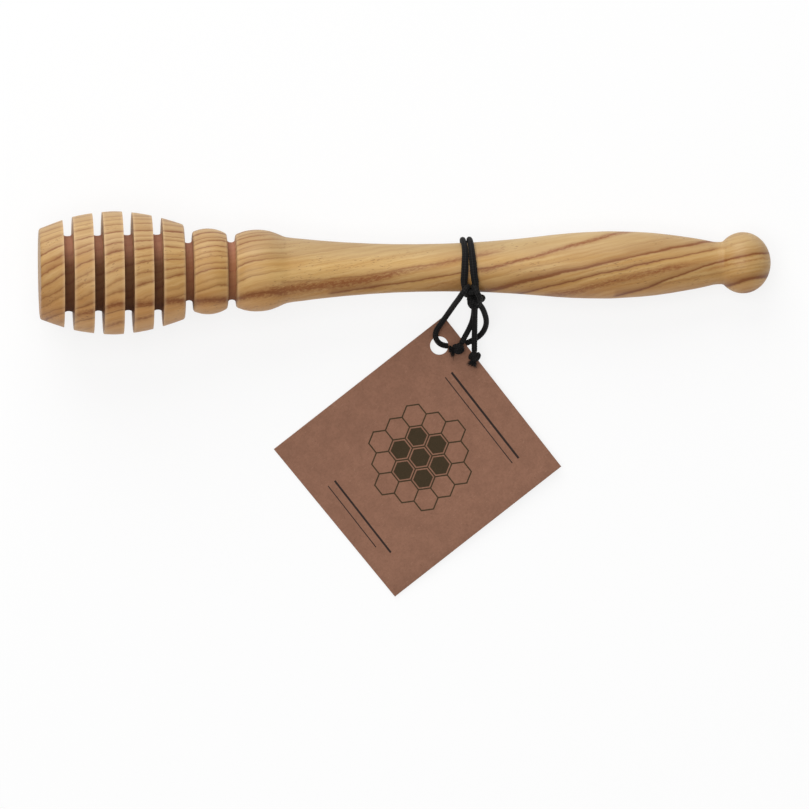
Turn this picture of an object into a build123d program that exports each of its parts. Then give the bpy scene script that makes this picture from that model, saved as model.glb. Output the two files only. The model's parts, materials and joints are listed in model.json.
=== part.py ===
"""A turned honey dipper that lies on a table, with a card tag tied round its grip.

Millimetres. +X runs from the head to the ball, +Z is up, and the table is at zero height.
The origin is on the table, under the middle of the dipper.
"""

import os
from math import asin, atan2, cos, degrees, hypot, isclose, pi, radians, sin, sqrt, tan

from build123d import *

os.makedirs("parts", exist_ok=True)

# The dipper, measured along its own axis from the nose face
dipper_length = 164.7
turning_step_share = 1e-4

# Head: five discs cut from one barrel by four grooves
disc_thickness = 4.45
disc_thickness_shares = (1.2, 1.0, 1.0, 0.99, 1.11)
groove_width = 2.25
nose_radius = 10.15
head_radius = 13.85
head_end_radius = 10.6
head_core_radius = 8.45
belly_share = 0.5
nose_side_shares = ((0.13, 0.42), (0.235, 0.70), (0.37, 0.905))
grip_side_shares = ((0.625, 0.07), (0.775, 0.32), (0.875, 0.585))

# Bead, between two narrower grooves
neck_groove_width = 1.92
neck_groove_radius = 6.45
bead_length = 7.73
bead_crest_share = 0.44
bead_radius = 9.66
bead_front_radius = 8.9
bead_back_radius = 8.35

# Collar, waist, swell and neck: one flowing outline
collar_radius = 9.2
collar_edge_radius = 8.15
collar_slope_share = 0.5
collar_front_shares = ((0.05, 0.74),)
waist_station = 88.0
waist_radius = 5.37
collar_to_waist_shares = (
    (0.11, 0.0), (0.168, 0.07), (0.214, 0.243), (0.2545, 0.44), (0.30, 0.527), (0.382, 0.63),
    (0.484, 0.747), (0.589, 0.843), (0.691, 0.916), (0.841, 0.984),
)
swell_station = 127.8
swell_radius = 7.58
waist_to_swell_shares = (
    (0.11, 0.02), (0.339, 0.181), (0.452, 0.321), (0.565, 0.493), (0.678, 0.697), (0.791, 0.873),
    (0.905, 0.965),
)
neck_radius = 4.77
neck_length = 1.25
swell_to_neck_shares = ((0.209, 0.057), (0.394, 0.167), (0.574, 0.359), (0.755, 0.601), (0.90, 0.847))

# Ball on the end
ball_radius = 6.91
ball_half_length = 6.25

# Rounded edges of the turning
rim_radius = 0.7
floor_fillet_radius = 0.85
neck_fillet_radius = 0.9

# The cord, and its hitch round the waist of the grip
cord_diameter = 1.25
cord_clearance = 0.12
tie_station = 96.4
tie_lean_offset = 0.33
strand_offset = 0.84
leg_offset = 1.3
leg_turn = 150.0
band_half_width = 3.7
band_turn = -205.0
band_half_height = 2.6
band_height = 2.15
wrap_stations = 5
band_stations = 6
turn_points = 7

# The bend line below the main knot, where every cord that hangs from the hitch flexes
bend_y = -9.6
bend_z = 7.8
bend_half_gap = 0.9
left_leg_x = 10.45
left_tail_x = 14.6
right_tail_x = 16.1
right_leg_x = 17.75
left_leg_way = (-0.37, -0.53, -0.77)
right_leg_way = (0.2, -0.6, -0.77)
tail_way = (0.0, -0.72, -0.69)

# Main knot
knot_x = 16.05
knot_y = -7.45
knot_z = 9.4
knot_core_radius = 1.35
knot_turn_radius = 0.95
knot_turn_offset = 0.45
knot_turn_tilts = (35.0, -40.0)
knot_reach = 1.75

# Routes of the loose cord, as corners of a chosen polyline: the last and first points are its ends
tag_loop_route = [
    (10.12, -10.07, 7.11), (8.6, -12.1, 4.6), (7.1, -13.7, 3.2), (6.3, -15.0, 2.9),
    (6.94, -16.44, 2.82), (8.46, -17.66, 0.68), (10.4, -17.95, 0.66), (13.2, -17.5, 0.66),
    (16.0, -16.2, 0.9), (18.0, -14.4, 2.2), (18.75, -12.2, 4.7), (17.93, -10.14, 7.11),
]
left_tail_route = [
    (14.6, -10.25, 7.18), (14.4, -12.6, 4.9), (13.75, -14.9, 3.9), (12.7, -16.7, 3.7),
]
right_tail_route = [
    (16.1, -10.25, 7.18), (16.0, -12.7, 4.9), (15.7, -15.6, 3.8), (15.72, -18.7, 3.65),
]
bend_share = 0.45

# Stopper knots and their frayed ends
stopper_core_radius = 0.95
stopper_turn_radius = 0.62
stopper_turn_tilt = 25.0
stopper_offset = 1.0
fray_start_radius = 0.45
fray_end_radius = 0.9
fray_start = 1.2
fray_length = 2.4

# Card tag
tag_width = 43.0
tag_length = 48.0
tag_thickness = 0.5
tag_corner_radius = 0.3
tag_turn = 37.1
hole_x = 7.66
hole_y = -17.47
hole_radius = 2.05
hole_to_end = 4.8
hole_to_side = 4.6

# Worked out from the sizes above
cord_radius = cord_diameter / 2
head_length = disc_thickness * sum(disc_thickness_shares) + groove_width * (len(disc_thickness_shares) - 1)
bead_start = head_length + neck_groove_width
collar_start = bead_start + bead_length + neck_groove_width
ball_station = dipper_length - ball_half_length
ball_start = ball_station - ball_half_length * sqrt(1 - (neck_radius / ball_radius) ** 2)
neck_station = ball_start - neck_length
groove_overrun = head_radius - head_core_radius


def rise_points(start, end, shares):
    """Outline points between two points, from shares of the way and of the rise."""
    return [
        (start[0] + (end[0] - start[0]) * way, start[1] + (end[1] - start[1]) * rise)
        for way, rise in shares
    ]


def radius_at(outline, station):
    """Radius of a turned outline at a distance along its axis, found by halving."""
    low, high = 0.0, 1.0
    while high - low > turning_step_share:
        middle = (low + high) / 2
        if (outline @ middle).X < station:
            low = middle
        else:
            high = middle
    return (outline @ low).Y


def bend_radii(route):
    """Radius of the arc at each inner corner of a route, as large as its two runs allow."""
    radii = []
    for before, corner, after in zip(route, route[1:], route[2:]):
        arriving = Vector(*corner) - Vector(*before)
        leaving = Vector(*after) - Vector(*corner)
        half_turn = radians(arriving.get_angle(leaving) / 2)
        radii.append(bend_share * min(arriving.length, leaving.length) / tan(half_turn))
    return radii


def biarc(start, start_way, end, end_way):
    """Join two points by two arcs that are tangent to each other and to both directions."""
    chord = end - start
    both_ways = start_way + end_way
    spread = 2 * (1 - start_way.dot(end_way))
    along = chord.dot(both_ways)
    if spread < turning_step_share:
        reach = chord.dot(chord) / (2 * along)
    else:
        reach = (sqrt(along ** 2 + spread * chord.dot(chord)) - along) / spread
    middle = (start + end + (start_way - end_way) * reach) / 2
    middle_way = ((end - end_way * reach) - (start + start_way * reach)).normalized()
    TangentArc(start, middle, tangent=start_way)
    TangentArc(middle, end, tangent=middle_way)


# Outline of the dipper, drawn flat: X along the axis, Y the radius
belly = (head_length * belly_share, head_radius)
nose = (0, nose_radius)
head_end = (head_length, head_end_radius)
nose_side = [
    (head_length * way, nose_radius + (head_radius - nose_radius) * rise) for way, rise in nose_side_shares
]
grip_side = [
    (head_length * way, head_radius + (head_end_radius - head_radius) * fall) for way, fall in grip_side_shares
]
bead_front = (bead_start, bead_front_radius)
bead_back = (bead_start + bead_length, bead_back_radius)
collar_edge = (collar_start, collar_edge_radius)
collar_top = (collar_start, collar_radius)
waist = (waist_station, waist_radius)
swell = (swell_station, swell_radius)
neck = (neck_station, neck_radius)
collar_front = [
    (
        collar_start + (waist_station - collar_start) * way,
        collar_edge_radius + (collar_radius - collar_edge_radius) * rise,
    )
    for way, rise in collar_front_shares
]
grip_points = (
    [collar_edge]
    + collar_front
    + rise_points(collar_top, waist, collar_to_waist_shares)
    + [waist]
    + rise_points(waist, swell, waist_to_swell_shares)
    + [swell]
    + rise_points(swell, neck, swell_to_neck_shares)
    + [neck]
)
ball_meeting_angle = degrees(asin(neck_radius / ball_radius))

with BuildLine() as outline:
    Line((0, 0), nose)
    head_curve = Spline(nose, *nose_side, belly, *grip_side, head_end)
    Line(head_end, bead_front)
    ThreePointArc(bead_front, (bead_start + bead_length * bead_crest_share, bead_radius), bead_back)
    Line(bead_back, collar_edge)
    grip_curve = Spline(
        *grip_points, tangents=((1, collar_slope_share), (1, 0)), tangent_scalars=(1, 1)
    )
    Line(neck, (ball_start, neck_radius))
    EllipticalCenterArc(
        (ball_station, 0), ball_half_length, ball_radius,
        start_angle=180 - ball_meeting_angle, arc_size=ball_meeting_angle - 180,
    )
    Line((dipper_length, 0), (0, 0))

# The dipper lies on the head's belly and on the ball, so its axis leans
belly_samples = [head_curve @ (step / 100) for step in range(101)]
lean = max(atan2(point.Y - ball_radius, ball_station - point.X) for point in belly_samples)
axis_height = ball_station * sin(lean) + hypot(ball_half_length * sin(lean), ball_radius * cos(lean))
ball_end_x = ball_station * cos(lean) + hypot(ball_half_length * cos(lean), ball_radius * sin(lean))
nose_x = -(ball_end_x - nose_radius * sin(lean)) / 2
axis_way = Vector(cos(lean), 0, -sin(lean))
axis_plane = Plane(origin=(nose_x, 0, axis_height), x_dir=axis_way, z_dir=(0, -1, 0))
turning_axis = Axis(axis_plane.origin, axis_way)

# Every groove: its start along the axis, its width and the radius of its floor
grooves = []
groove_start = 0
for thickness_share in disc_thickness_shares[:-1]:
    groove_start += disc_thickness * thickness_share
    grooves.append((groove_start, groove_width, head_core_radius))
    groove_start += groove_width
grooves.append((head_length, neck_groove_width, neck_groove_radius))
grooves.append((bead_start + bead_length, neck_groove_width, neck_groove_radius))


def on_radius(*radii):
    """Filter that keeps the circular edges of the given radii."""
    return lambda edge: any(isclose(edge.radius, radius, rel_tol=turning_step_share) for radius in radii)


with BuildPart() as dipper:
    with BuildSketch(axis_plane):
        add(outline.line)
        make_face()
    revolve(axis=turning_axis)
    with BuildSketch(axis_plane):
        for groove_start, width, floor_radius in grooves:
            depth = head_radius + groove_overrun - floor_radius
            with Locations((groove_start + width / 2, floor_radius + depth / 2)):
                Rectangle(width, depth)
    revolve(axis=turning_axis, mode=Mode.SUBTRACT)
    circles = dipper.edges().filter_by(GeomType.CIRCLE)
    floor_edges = circles.filter_by(on_radius(head_core_radius, neck_groove_radius))
    ball_edge = circles.filter_by(on_radius(neck_radius)).sort_by(turning_axis)[-1]
    rim_edges = circles - floor_edges - circles.filter_by(on_radius(neck_radius))
    fillet(rim_edges, rim_radius)
    fillet(dipper.edges().filter_by(GeomType.CIRCLE).filter_by(
        on_radius(head_core_radius, neck_groove_radius)), floor_fillet_radius)
    fillet(ball_edge, neck_fillet_radius)
dipper.part.label = "dipper"
export_step(dipper.part, "parts/dipper.step")

# The hitch, in a plane across the grip: local X is the world's Y, local Y is up, local Z the axis
tie_plane = Plane(
    origin=axis_plane.from_local_coords(Vector(tie_station, 0, 0)), x_dir=(0, 1, 0), z_dir=axis_way
)


def around_grip(turn, along, lift=0.0):
    """Centre of the cord at an angle round the grip, where 90 is up and 180 the tag's side."""
    seat = radius_at(grip_curve, tie_station + along) + cord_clearance + cord_radius + lift
    return tie_plane.from_local_coords(Vector(seat * cos(radians(turn)), seat * sin(radians(turn)), along))


def wrap_point(side, turn):
    """One strand of the hitch, from its leg over the grip and round to the band."""
    if turn > 0:
        spread = strand_offset + (leg_offset - strand_offset) * (turn / leg_turn) ** 2
    else:
        way = turn / band_turn
        spread = strand_offset + (band_half_width - strand_offset) * way ** 2 * (3 - 2 * way)
    return around_grip(turn, side * spread - tie_lean_offset * cos(radians(turn)))


def band_point(sweep_turn):
    """The band that crosses over both legs, from the head's side at 0 to the ball's side at 180."""
    across = cos(radians(sweep_turn))
    turn = band_turn - degrees(band_half_height * sin(radians(sweep_turn)) / (waist_radius + cord_diameter))
    lift = band_height * (1 - across ** 2)
    return around_grip(turn, -band_half_width * across - tie_lean_offset * cos(radians(turn)), lift)


def stations(curve, start, end, count):
    """Points and directions on a curve, evenly spaced from one parameter to another."""
    step = (end - start) * turning_step_share
    return [
        (curve(at), (curve(at + step) - curve(at - step)).normalized())
        for at in (start + (end - start) * share / count for share in range(count + 1))
    ]


def bend_point(x, way, half_gap):
    """Middle of a cord's rounded end beside the bend line."""
    return Vector(x, bend_y, bend_z) + Vector(*way).normalized() * half_gap


def least_gap(wire):
    """Least gap between a cord's own turns, measured between points along its middle."""
    count = round(wire.length / cord_radius)
    points = [wire @ (index / count) for index in range(count + 1)]
    middles = [
        (later - earlier).length
        for index, earlier in enumerate(points)
        for later in points[index + turn_points:]
    ]
    return min(middles) - cord_diameter


knot_middle = Vector(knot_x, knot_y, knot_z)
left_stub = bend_point(left_leg_x, left_leg_way, -bend_half_gap)
knot_stubs = [
    bend_point(left_tail_x, tail_way, -bend_half_gap),
    bend_point(right_tail_x, tail_way, -bend_half_gap),
    bend_point(right_leg_x, right_leg_way, -bend_half_gap),
]
into_knot = (knot_middle - wrap_point(1, leg_turn)).normalized()
hitch_route = (
    [(left_stub, -Vector(*left_leg_way).normalized())]
    + stations(lambda turn: wrap_point(-1, turn), leg_turn, band_turn, wrap_stations)
    + stations(band_point, 0, 180, band_stations)[1:-1]
    + stations(lambda turn: wrap_point(1, turn), band_turn, leg_turn, wrap_stations)
    + [(knot_middle - into_knot * (knot_reach + cord_diameter), into_knot)]
)

with BuildPart() as tie_wraps:
    with BuildLine() as hitch_path:
        for (start, start_way), (end, end_way) in zip(hitch_route, hitch_route[1:]):
            biarc(start, start_way, end, end_way)
        Line(hitch_route[-1][0], knot_middle - into_knot * knot_reach)
    with BuildSketch(Plane(origin=left_stub, z_dir=hitch_route[0][1])):
        Circle(cord_radius)
    sweep()
    with Locations(left_stub):
        Sphere(cord_radius)
tie_wraps.part.label = "tie_wraps"
export_step(tie_wraps.part, "parts/tie_wraps.step")
hitch_length = hitch_path.wire().length
print("tie_wraps length", round(hitch_length, 2), "least gap", round(least_gap(hitch_path.wire()), 3))
hitch_bends = hitch_path.edges().filter_by(GeomType.CIRCLE)
print("tie_wraps tightest bend", round(min(bend.radius for bend in hitch_bends), 2))
print("tie_wraps volume", round(tie_wraps.part.volume, 2), "section times length",
      round(pi * cord_radius ** 2 * hitch_length, 2))

# The main knot: a core, two turns of cord over it and the first bit of each cord that meets it
knot_plane = Plane(origin=knot_middle, z_dir=Vector(*tail_way))
with BuildPart() as tie_knot:
    with Locations(knot_middle):
        Sphere(knot_core_radius)
    for side, tilt in zip((-1, 1), knot_turn_tilts):
        with Locations(knot_plane.offset(side * knot_turn_offset)):
            Torus(knot_turn_radius, cord_radius, rotation=(tilt, 0, 0))
    for stub in knot_stubs:
        with BuildSketch(Plane(origin=knot_middle, z_dir=stub - knot_middle)):
            Circle(cord_radius)
        extrude(amount=(stub - knot_middle).length)
        with Locations(stub):
            Sphere(cord_radius)
    with BuildSketch(Plane(origin=knot_middle, z_dir=-into_knot)):
        Circle(cord_radius)
    extrude(amount=knot_reach)
tie_knot.part.label = "tie_knot"
export_step(tie_knot.part, "parts/tie_knot.step")

# The loose cord
for name, route in (
    ("tag_loop", tag_loop_route), ("left_tail", left_tail_route), ("right_tail", right_tail_route)
):
    radii = bend_radii(route)
    with BuildPart() as tube:
        with BuildLine() as path:
            FilletPolyline(*route, radius=radii)
        with BuildSketch(Plane(origin=route[0], z_dir=Vector(*route[1]) - Vector(*route[0]))):
            Circle(cord_radius)
        sweep()
        with Locations(route[0]):
            Sphere(cord_radius)
        if name == "tag_loop":
            with Locations(route[-1]):
                Sphere(cord_radius)
    tube.part.label = name
    export_step(tube.part, f"parts/{name}.step")
    print(name, "bend radii", [round(radius, 2) for radius in radii])
    print(name, "length", round(path.wire().length, 2), "volume", round(tube.part.volume, 2),
          "section times length", round(pi * cord_radius ** 2 * path.wire().length, 2))

# A stopper knot with a frayed end on each tail
for name, route in (("left_end_knot", left_tail_route), ("right_end_knot", right_tail_route)):
    last_way = (Vector(*route[-1]) - Vector(*route[-2])).normalized()
    tail_end = Plane(origin=route[-1], z_dir=last_way)
    with BuildPart() as end_knot:
        with Locations(tail_end.offset(stopper_offset / 2)):
            Cylinder(cord_radius, stopper_offset)
        with Locations(tail_end.offset(stopper_offset)):
            Sphere(stopper_core_radius)
            Torus(stopper_turn_radius, cord_radius, rotation=(stopper_turn_tilt, 0, 0))
        with Locations(tail_end.offset(stopper_offset + fray_start)):
            Cone(fray_start_radius, fray_end_radius, fray_length)
    end_knot.part.label = name
    export_step(end_knot.part, f"parts/{name}.step")

# The tag leans on the cord behind it and rests on its far edge
tag_lift = cord_diameter + 2 * cord_clearance
tag_lean = asin(tag_lift / (tag_length - hole_to_end))
tag_way = Vector(
    cos(radians(tag_turn)) * cos(tag_lean), sin(radians(tag_turn)) * cos(tag_lean), sin(tag_lean)
)
tag_side_way = Vector(-sin(radians(tag_turn)), cos(radians(tag_turn)), 0)
tag_plane = Plane(origin=(hole_x, hole_y, tag_lift), x_dir=tag_way, z_dir=tag_way.cross(tag_side_way))
with BuildPart() as tag:
    with BuildSketch(tag_plane):
        with Locations((hole_to_end - tag_length / 2, hole_to_side - tag_width / 2)):
            RectangleRounded(tag_length, tag_width, tag_corner_radius)
        Circle(hole_radius, mode=Mode.SUBTRACT)
    extrude(amount=tag_thickness)
tag.part.label = "tag"
export_step(tag.part, "parts/tag.step")

print("dipper lean", round(degrees(lean), 3), "nose at", round(nose_x, 3), round(axis_height, 3))
print("tag lean", round(degrees(tag_lean), 3))
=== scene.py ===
# %% [markdown]
# # An olive-wood honey dipper with a card tag
#
# The solids of this object are already measured and modelled: a turned dipper, a cord tied round its
# grip and a card tag. This lesson dresses them for a photograph taken from straight above. It makes
# the finishes, remakes the cord and the card with the detail that a close look needs, and sets up
# the floor, the light and the camera.

# %% Load the measured model
import json
from math import cos, pi, radians, sin, sqrt, tau

import bpy
import numpy as np
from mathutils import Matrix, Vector
from mathutils.bvhtree import BVHTree


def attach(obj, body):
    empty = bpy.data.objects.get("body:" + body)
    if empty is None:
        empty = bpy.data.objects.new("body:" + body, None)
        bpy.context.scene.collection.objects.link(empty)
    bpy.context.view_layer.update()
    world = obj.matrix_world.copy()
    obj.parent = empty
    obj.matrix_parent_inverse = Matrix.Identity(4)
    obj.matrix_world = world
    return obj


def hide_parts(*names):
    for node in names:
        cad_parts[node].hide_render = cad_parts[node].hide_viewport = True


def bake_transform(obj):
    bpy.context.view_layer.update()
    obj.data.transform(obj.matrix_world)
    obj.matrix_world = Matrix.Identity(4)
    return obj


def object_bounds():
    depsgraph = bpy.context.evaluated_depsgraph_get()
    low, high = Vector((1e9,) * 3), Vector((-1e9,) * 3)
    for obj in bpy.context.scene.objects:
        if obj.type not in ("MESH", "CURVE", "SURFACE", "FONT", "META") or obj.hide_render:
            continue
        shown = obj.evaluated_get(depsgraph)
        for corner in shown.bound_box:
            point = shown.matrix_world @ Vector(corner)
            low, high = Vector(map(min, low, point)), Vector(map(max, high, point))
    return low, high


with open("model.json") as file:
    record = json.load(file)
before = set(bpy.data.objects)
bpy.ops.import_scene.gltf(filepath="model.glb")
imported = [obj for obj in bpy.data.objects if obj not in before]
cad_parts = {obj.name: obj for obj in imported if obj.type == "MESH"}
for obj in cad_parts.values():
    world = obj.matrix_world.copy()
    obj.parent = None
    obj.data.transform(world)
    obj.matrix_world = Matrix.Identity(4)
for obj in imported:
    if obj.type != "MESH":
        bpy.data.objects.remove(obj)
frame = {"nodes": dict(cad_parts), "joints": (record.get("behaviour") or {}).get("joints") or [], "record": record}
cad_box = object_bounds()
MM = 0.001
print("pieces in the model:", sorted(frame["nodes"]))

# %% [markdown]
# ## Places that everything else follows
#
# The joints of the model already say where the grip's axis, the cord's bend line and the tag's hole
# are. Reading the grip's axis and the tag's hole here, instead of typing them again, keeps the pieces on the
# model.

# %% Read the places of the joints
joints = {joint["name"]: joint for joint in frame["joints"]}
tie_middle = Vector(joints["tie_turn"]["pos_m"])
grip_way = Vector(joints["tie_turn"]["axis"]).normalized()
hole_middle = Vector(joints["tag_swing"]["pos_m"])
card_up = Vector(joints["tag_swing"]["axis"]).normalized()
nose_middle = Vector(frame["record"]["mounts"][0]["pos_m"])
grip_up = Vector((-grip_way.z, 0, grip_way.x))
grip_side = Vector((0, 1, 0))
print("tie", tie_middle, "hole", hole_middle)

# %% [markdown]
# ## The camera
#
# The photograph looks straight down from far away, so lines that run down towards the table hardly
# converge. A very long lens from five metres does the same. The picture is turned a little, so that
# the dipper rises to the right by about one degree.

# %% Set up the camera
picture_size = 809
pixel_size = 0.2254 * MM
picture_turn = radians(0.943)
nose_pixel = (38.3, 274.5)
camera_height = 5.0
sensor_width = 36.0
view_reach_share = 4.0

nose_edge = cad_box[0].x
right_pixels = picture_size / 2 - nose_pixel[0]
up_pixels = nose_pixel[1] - picture_size / 2
camera_data = bpy.data.cameras.new("camera")
camera_data.sensor_width = sensor_width
camera_data.lens = sensor_width * camera_height / (picture_size * pixel_size)
camera_data.clip_end = view_reach_share * camera_height
camera = bpy.data.objects.new("camera", camera_data)
camera.location = (
    nose_edge + (right_pixels * cos(picture_turn) + up_pixels * sin(picture_turn)) * pixel_size,
    (up_pixels * cos(picture_turn) - right_pixels * sin(picture_turn)) * pixel_size,
    camera_height,
)
camera.rotation_euler = (0, 0, -picture_turn)
bpy.context.scene.collection.objects.link(camera)
bpy.context.scene.camera = camera
print("camera at", camera.location)

# %% [markdown]
# ## Writing shader maths as sums
#
# A material is a graph of nodes, and sums are clumsy to wire by hand. A small class can stand for
# one socket: adding or multiplying two of them adds the Math node and returns its output. Every
# other node comes from one method, which sets the node up and joins its sockets.

# %% A socket that can be used in sums
class Socket:
    """One output of a node. Arithmetic on it adds Math nodes to the same graph."""

    def __init__(self, graph, output):
        self.graph, self.output = graph, output

    def maths(self, operation, *values):
        return self.graph.add("ShaderNodeMath", {"operation": operation}, dict(enumerate(values)))["Value"]

    def __add__(self, other):
        return self.maths("ADD", self, other)

    def __radd__(self, other):
        return self.maths("ADD", other, self)

    def __sub__(self, other):
        return self.maths("SUBTRACT", self, other)

    def __rsub__(self, other):
        return self.maths("SUBTRACT", other, self)

    def __mul__(self, other):
        return self.maths("MULTIPLY", self, other)

    def __rmul__(self, other):
        return self.maths("MULTIPLY", other, self)

    def __truediv__(self, other):
        return self.maths("DIVIDE", self, other)

    def __rtruediv__(self, other):
        return self.maths("DIVIDE", other, self)

    def __abs__(self):
        return self.maths("ABSOLUTE", self)

    def at_least(self, other):
        return self.maths("MAXIMUM", self, other)

    def at_most(self, other):
        return self.maths("MINIMUM", self, other)

    def exp(self):
        return self.maths("EXPONENT", self)

    def root(self):
        return self.maths("SQRT", self)

    def cosine(self):
        return self.maths("COSINE", self)

    def hump(self, width):
        """1 where this is 0, falling away smoothly over a width on both sides."""
        share = self * (1 / width)
        return (share * share * -1.0).exp()


# %% A graph of nodes, and the one method that adds a node to it
class Graph:
    """The nodes of a material or of the world."""

    def __init__(self, tree):
        self.tree = tree

    def join(self, socket, value):
        if isinstance(value, Socket):
            self.tree.links.new(value.output, socket)
        else:
            socket.default_value = value

    def add(self, kind, settings=None, values=None):
        """Add a node, set it up, then give its inputs their values or links. Returns its outputs."""
        node = self.tree.nodes.new(kind)
        for name, setting in (settings or {}).items():
            setattr(node, name, setting)
        by_identifier = {socket.identifier: socket for socket in node.inputs}
        for key, value in (values or {}).items():
            self.join(node.inputs[key] if isinstance(key, int) else by_identifier[key], value)
        return {socket.identifier: Socket(self, socket) for socket in node.outputs}

    def mix(self, share, first, second):
        """Blend two colours."""
        values = {"Factor_Float": share, "A_Color": first, "B_Color": second}
        return self.add("ShaderNodeMix", {"data_type": "RGBA"}, values)["Result_Color"]

    def layered(self, colour, layers):
        """A ground colour with named layers over it, each a share and a colour."""
        for share, shade in layers.values():
            colour = self.mix(share, colour, shade)
        return colour

    def step(self, value, start, end):
        """Rise smoothly from 0 to 1 as the value goes from start to end."""
        values = {"Value": value, "From Min": start, "From Max": end}
        return self.add("ShaderNodeMapRange", {"interpolation_type": "SMOOTHSTEP"}, values)["Result"]

    def fall(self, value, start, end):
        """Fall smoothly from 1 to 0 as the value goes from start to end."""
        return self.step(value * -1.0, -end, -start)

    def noise(self, coordinates, detail=2.0, roughness=0.5):
        """Noise of about 0 to 1 over three coordinates."""
        place = self.add("ShaderNodeCombineXYZ", values=dict(enumerate(coordinates)))["Vector"]
        values = {"Vector": place, "Scale": 1.0, "Detail": detail, "Roughness": roughness}
        return self.add("ShaderNodeTexNoise", values=values)["Fac"]

    def bump(self, height, strength, distance):
        """Normals tilted by a height."""
        values = {"Height": height, "Strength": strength, "Distance": distance}
        return self.add("ShaderNodeBump", values=values)["Normal"]

    def along(self, way, start):
        """Distance in millimetres from a point, along a direction fixed to the piece."""
        place = self.add("ShaderNodeTexCoord")["Object"]
        values = {"Vector": place, "Vector_001": way / MM}
        dot = self.add("ShaderNodeVectorMath", {"operation": "DOT_PRODUCT"}, values)["Value"]
        return dot - way.dot(start) / MM


# %% A finish, and the colours it takes
class Finish(Graph):
    """A new material around a Principled shader."""

    def __init__(self, name, **constants):
        self.material = bpy.data.materials.new(name)
        self.material.use_nodes = True
        super().__init__(self.material.node_tree)
        self.shader = self.tree.nodes["Principled BSDF"]
        for socket, value in constants.items():
            self.feed(socket.replace("_", " "), value)

    def feed(self, socket, value):
        self.join(self.shader.inputs[socket], value)


def srgb(red, green, blue):
    """A colour as a screen shows it, from 0 to 255, as the linear colour that a shader takes."""
    shown = [value / 255 for value in (red, green, blue)]
    linear = [((v + 0.055) / 1.055) ** 2.4 if v > 0.04045 else v / 12.92 for v in shown]
    return (*linear, 1.0)


# %% [markdown]
# ## Olive wood
#
# Olive wood is honey-coloured, with thin brown growth lines that are sharp on one side and fade on
# the other. The lines are sheets inside the blank, and the turning cuts through them. So the finish
# works out which sheet each point lies in, from its place in the blank. That makes the lines arch
# over the bead, climb the first disc and cross the grip at a slant, on every side and in the cut
# faces too. A picture wrapped round the shape would slide and stretch there. A few streaks and sharp
# lines wander off the sheets, as they do beside a knot. Places are in millimetres: along the dipper
# from its nose, and across the sheets.

# %% Lay the growth sheets through the blank
sheet_rise_share = 0.205
head_tilt_share = 0.8
grip_tilt_share = 0.1
tilt_run = 122.0
side_tilt_rise = 0.055
middle_tilt_share = 0.55
least_tilt_share = 0.15

# Each wobble of the sheets: how fast it changes along and across the wood, its detail and its size.
wobbles = [(0.035, 0.07, 1.0, 0.9), (0.16, 0.3, 2.0, 0.8), (0.9, 1.2, 2.0, 0.3)]


def growth_sheets(wood, along, across, height):
    """For each point of the wood, its place across the sheets and its depth down its own sheet."""
    tilt_change = (head_tilt_share - grip_tilt_share) / tilt_run
    tilt = (head_tilt_share - along * tilt_change).at_least(grip_tilt_share)
    side_share = (across * side_tilt_rise + middle_tilt_share).at_least(least_tilt_share).at_most(1.0)
    tilt = tilt * side_share
    sheet = across - height * tilt - (along + nose_middle.x / MM) * sheet_rise_share
    for along_rate, across_rate, detail, size in wobbles:
        place = (along * along_rate, across * across_rate, height * across_rate)
        sheet = sheet + (wood.noise(place, detail) - 0.5) * size
    return sheet, height + across * tilt


# %% Noise that follows the sheets: its rate along, across and down them, detail and roughness
sheet_noises = {
    "patches": (0.05, 0.5, 0.08, 2.0, 0.5),
    "bands": (0.05, 1.9, 0.3, 4.0, 0.6),
    "fibres": (0.5, 11.0, 3.0, 2.0, 0.5),
    "clouds": (0.09, 0.12, 0.12, 2.0, 0.5),
    "grain": (1.1, 3.5, 2.0, 3.0, 0.7),
    "pores": (0.9, 6.0, 2.2, 1.0, 0.5),
    "pore_groups": (0.06, 0.25, 0.2, 1.0, 0.5),
}


def noises_along_sheets(wood, along, sheet, depth):
    """All of these noises, by name."""
    found = {}
    for name, (along_rate, sheet_rate, depth_rate, detail, roughness) in sheet_noises.items():
        place = (along * along_rate, sheet * sheet_rate, depth * depth_rate)
        found[name] = wood.noise(place, detail, roughness)
    return found


# %% Growth lines: the place of each across the sheets, its sharp side, soft side and strength
growth_lines = [
    (36.0, 0.2, 0.5, 0.7), (32.0, 0.2, 0.4, 0.8), (28.6, 0.2, 0.5, 0.7), (25.4, 0.2, 0.4, 0.6),
    (22.3, 0.3, 0.5, 0.5), (20.3, 0.2, 0.4, 0.45), (18.1, 0.2, 0.5, 0.5), (15.1, 0.14, 0.35, 1.05),
    (13.2, 0.1, 0.2, 0.55), (12.1, 0.12, 0.25, 0.7), (10.6, 0.12, 0.3, 0.9), (9.3, 0.08, 0.15, 0.45),
    (8.4, 0.1, 0.25, 0.6), (7.1, 0.08, 0.2, 0.5), (6.1, 0.12, 0.25, 0.8), (4.6, 0.08, 0.2, 0.4),
    (3.5, 0.12, 0.25, 0.75), (1.9, 0.07, 0.15, 0.3), (-6.9, 0.07, 0.15, 0.25), (-9.35, 0.17, 0.3, 1.5),
    (-11.5, 0.16, 0.28, 1.15), (-15.4, 0.12, 0.25, 0.3), (-17.0, 0.16, 0.3, 0.3), (-20.0, 0.22, 0.3, 1.8),
    (-22.6, 0.15, 0.3, 0.8), (-25.2, 0.2, 0.4, 0.9),
]
print("growth lines:", len(growth_lines))

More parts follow.
